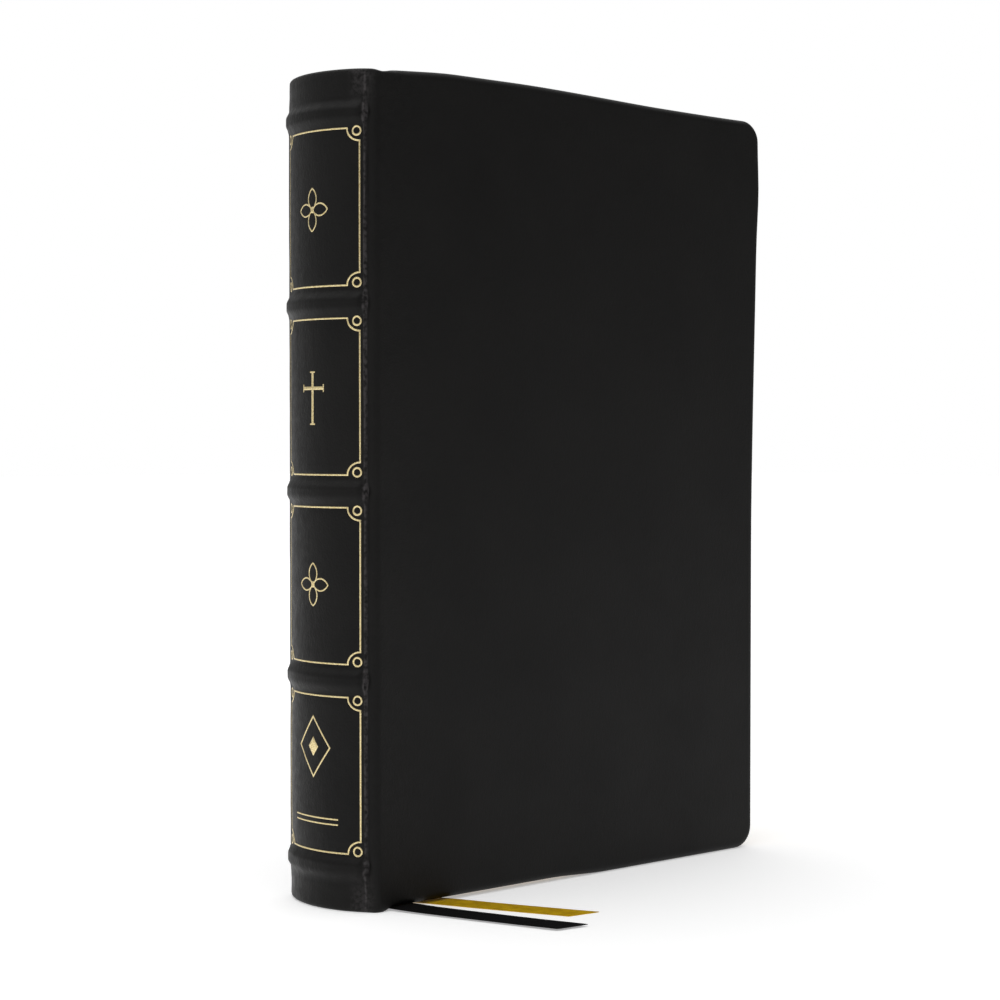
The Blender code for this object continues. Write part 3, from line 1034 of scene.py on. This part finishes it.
def section(number, which, side):
    """A sewn section, shown as groups of leaves, their points closest together near the gutter."""
    node = f"section_{number:02d}"
    low, high = box_mm(node)
    gap = 0.15  # half of the clearance between the CAD sections
    near, far = low.y - gap, high.y + gap
    width = high.x - back_x((low.y + high.y) / 2)
    middle = abs(low.y + high.y) / 2
    turn_end = PAGES_X + 4 + 26 * (1 - middle / HALF_T) ** 1.2
    chance = random.Random(number)
    verts, faces, picks = [], [], []
    for k in range(LEAVES):
        a = near + (far - near) * k / LEAVES + 0.012
        b = near + (far - near) * (k + 1) / LEAVES - 0.012
        end = back_x((a + b) / 2) + width + chance.uniform(-0.05, 0.05)
        columns = leaf(
            PAGES_X + 0.02, end, a, b, turn_end,
            low=TAIL_Z + chance.uniform(-0.04, 0.04), high=HEAD_Z + chance.uniform(-0.04, 0.04),
        )
        if min(abs(a), abs(b)) < 0.5:  # past the ribbons the two middle leaves close up
            columns = [[close_up(p) for p in loop] for loop in columns]
        made, trims = leaf_faces(columns, len(verts))
        verts += [p for column in columns for p in column]
        faces += made
        picks += trims
    obj = make(f"{node}_leaves", verts, faces, [PAGE, GILT], picks)
    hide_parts(node)
    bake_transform(obj)


def endpapers(which, side):
    """The free endpaper, and the paper hinge from it to the sheet pasted on the board."""
    low, high = box_mm(f"{which}_flyleaf")
    start, turned = FLYLEAF_X + 1.4, FLYLEAF_X + 5.0
    columns = leaf(start, high.x, low.y, high.y, turned)
    faces, trims = leaf_faces(columns, 0)
    verts = [p for column in columns for p in column]
    obj = make(f"{which}_free_endpaper", verts, faces, [ENDPAPER, GILT], trims)
    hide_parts(f"{which}_flyleaf")
    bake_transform(obj)
    first, last = FLYLEAF_X + 0.5, COVER_X + 4.6
    foot, head = PASTEDOWN_MARGIN, HEIGHT - PASTEDOWN_MARGIN
    columns = []
    for x in spread(first, last, 30):
        t = smooth(first, last, x)
        inner = abs(high.y if side > 0 else low.y) + 0.05 + 0.12 * t
        a, b = side * inner, side * (inner + 0.12)
        columns.append([(x, a, foot), (x, a, head), (x, b, head), (x, b, foot)])
    obj = make(f"{which}_endpaper_hinge", *tube(columns), ENDPAPER)
    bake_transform(obj)


# ---------------------------------------------------------------- ribbons and end bands


def run(beyond):
    """How far along its sideways run a ribbon is: it starts softly."""
    if beyond < RIBBON_EASE:
        return max(0.0, beyond) ** 2 / (2 * RIBBON_EASE)
    return beyond - RIBBON_EASE / 2


def ribbon(name):
    """A satin ribbon: down the gutter, round the tail, and out along the table."""
    x0, off, radius, length_out, start, lean, slot = RIBBONS[name]
    top = HEAD_Z + 1.0
    down = top - RIBBON_BEND_Z
    quarter = radius * math.pi / 2
    length = down + quarter + length_out
    across = spread(-RIBBON_W / 2, RIBBON_W / 2, 8)

    def place(along, u, lift):
        out = along - down - quarter
        x = x0 + u + lean * run(out - start)
        if along < down:
            return (x, off - lift, top - along)
        if out < 0:
            a = (along - down) / radius
            reach = radius - lift
            y = off - radius + reach * math.cos(a)
            return (x, y, RIBBON_BEND_Z - reach * math.sin(a))
        soft = 0.10 * math.sin(out * 0.11) * smooth(6, 20, out)
        return (x + soft, off - radius - out, RIBBON_BEND_Z - radius + lift + max(0.0, soft))

    columns, marks = [], []
    for k in range(RIBBON_STEPS + 1):
        t = k / RIBBON_STEPS
        along = length * (0.62 * t if t < 0.5 else 0.31 + 1.38 * (t - 0.5))
        tip = smooth(0.9, 1.0, t)
        loop = []
        for lift, order in ((RIBBON_T / 2, across), (-RIBBON_T / 2, across[::-1])):
            for u in order:
                thin = lift * (0.55 if abs(u) > RIBBON_W / 2 - 0.1 else 1.0)
                reach = along + tip * u * RIBBON_TIP
                loop.append(place(reach, u, thin))
                marks.append((u / RIBBON_W + 0.5, reach / UV_LENGTH))
        columns.append(loop)
    verts, faces = tube(columns)
    obj = make(f"{name}_satin", verts, faces, RIBBON_LOOKS[name])
    map_texture(obj, "weave", marks)
    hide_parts(name)
    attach(obj, "spine")


def end_band(node):
    """Silk wound over a cord: each turn of thread is a small ridge."""
    low, high = box_mm(node)
    z = (low.z + high.z) / 2
    radius = (high.z - low.z) / 2
    depth, half = 4.3, math.radians(31)
    turns = 62
    columns, marks = [], []
    for i in range(turns * 4 + 1):
        t = i / (turns * 4)
        a = half * (2 * t - 1)
        ridge = radius * (0.94 + 0.06 * abs(math.sin(math.pi * t * turns)))
        ends = min(1.0, 0.35 + 40 * min(t, 1 - t))
        loop = []
        for k in range(12):
            b = 2 * math.pi * k / 12
            reach = ARC_R - depth + ridge * ends * math.cos(b)
            height = z + ridge * ends * math.sin(b)
            loop.append((ARC_X - reach * math.cos(a), reach * math.sin(a), height))
            marks.append((t, k / 12))
        columns.append(loop)
    obj = make(f"{node}_silk", *tube(columns), SILK)
    map_texture(obj, "silk", marks)
    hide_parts(node)
    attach(obj, "spine")


# ---------------------------------------------------------------- pieces kept from the CAD


def dress_cad():
    board = board_look("grey_board", (0.27, 0.235, 0.195), (0.19, 0.165, 0.135))
    card = board_look("white_card", (0.60, 0.56, 0.48), (0.50, 0.46, 0.39))
    core = board_look("band_core", (0.33, 0.27, 0.21), (0.24, 0.19, 0.14))
    cloth = cloth_look("lining_cloth", (0.66, 0.62, 0.54), (0.50, 0.46, 0.39), 0.9)
    paste = paper_look("pastedown_paper", (0.72, 0.66, 0.54), False)
    looks = {"spine_stiffener": card, "spine_lining": cloth, "sewn_back": sewn_back_look()}
    for which, _, _ in SIDES:
        looks[f"{which}_board"] = board
        looks[f"{which}_pastedown"] = paste
    for k in range(1, 6):
        looks[f"raised_band_{k}"] = core
    for node, material in looks.items():
        obj = frame["nodes"][node]
        if not obj.data.materials:
            obj.data.materials.append(material)
        for slot in obj.material_slots:
            slot.material = material


RIBBON_LOOKS = {
    "ribbon_marker_black": satin_look(
        "black_satin", (0.0050, 0.0046, 0.0050), (0.0028, 0.0028, 0.0030), 0.06
    ),
    "ribbon_marker_gold": satin_look(
        "gold_satin", (0.74, 0.46, 0.006), (0.54, 0.32, 0.003), 0.10
    ),
}
SILK = striped_silk_look()

camera()
studio()
floor()
dress_cad()
spine_skin()
tooling()
for node in ("headband", "tailband"):
    end_band(node)
for which, side, first in SIDES:
    joint_strips(which, side)
    cover_skin(which, side)
    endpapers(which, side)
    for number in range(first, first + SECTIONS):
        section(number, which, side)
for name in RIBBONS:
    ribbon(name)
